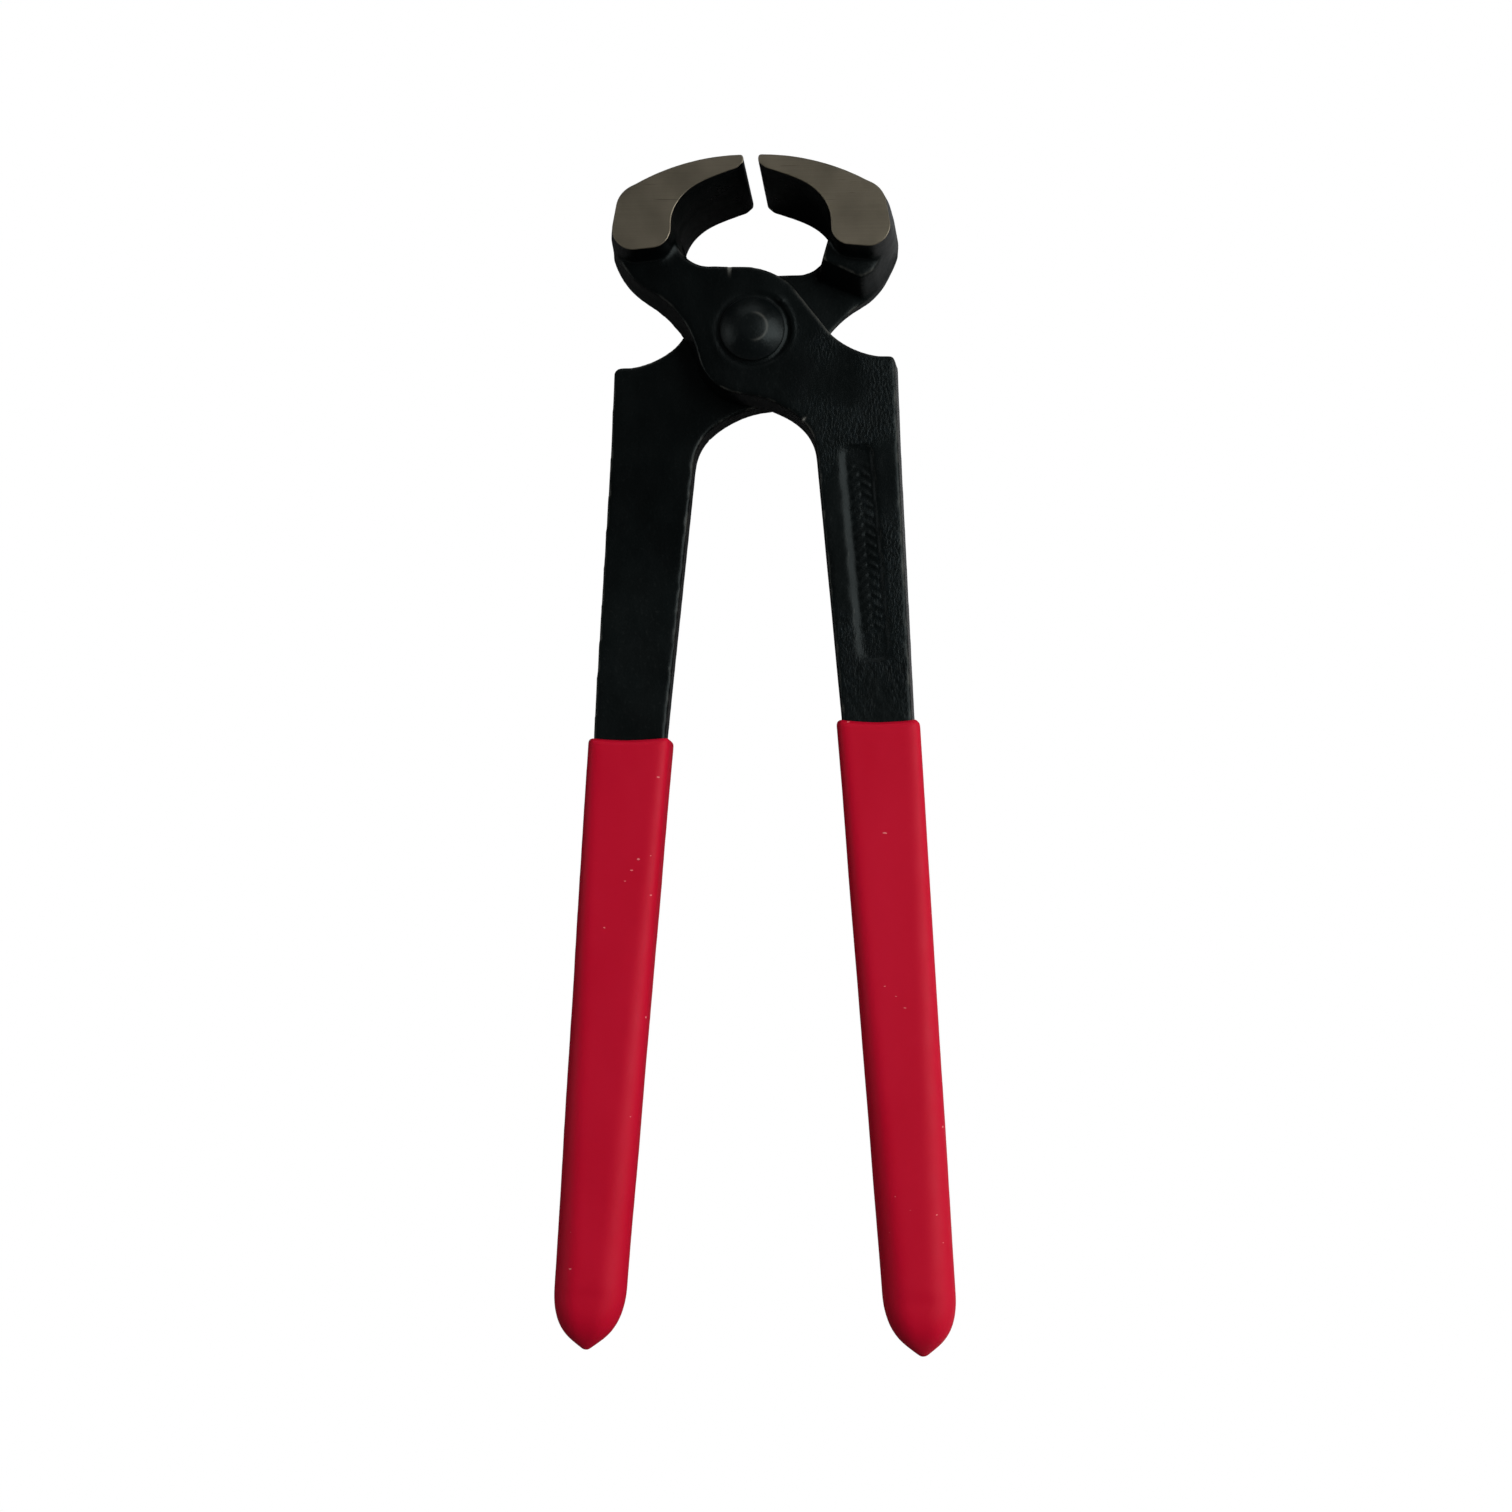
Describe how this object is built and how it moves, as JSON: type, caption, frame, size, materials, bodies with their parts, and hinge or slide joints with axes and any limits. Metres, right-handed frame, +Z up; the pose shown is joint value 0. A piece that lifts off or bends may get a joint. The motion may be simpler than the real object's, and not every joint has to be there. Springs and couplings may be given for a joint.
{
  "type": "carpenter's pincers",
  "caption": "End-cutting carpenter's pincers: two forged arms on a rivet, wide jaws with ground side faces, flat handles in dipped plastic grips.",
  "frame": {"origin": "bottom centre of the tool lying flat, between the two handles, level with the lower ground faces of the jaws", "axes": "+Y points from the handles to the jaws, +Z runs up along the rivet, +X points to the right-hand grip"},
  "size_m": [0.067, 0.1992, 0.026],
  "materials": {
    "forged_steel": "satin",
    "rivet_steel": "satin",
    "grip_plastic": "satin"
  },
  "bodies": {
    "front_half": {"front_arm": "forged_steel", "pivot_rivet": "rivet_steel", "right_grip": "grip_plastic"},
    "rear_half": {"rear_arm": "forged_steel", "left_grip": "grip_plastic"}
  },
  "joints": [
    {"name": "pivot", "type": "hinge", "parent": "front_half", "child": "rear_half", "pos_m": [0, 0.0712, 0.013], "axis": [0, 0, 1], "range_deg": [-32, 5]}
  ]
}
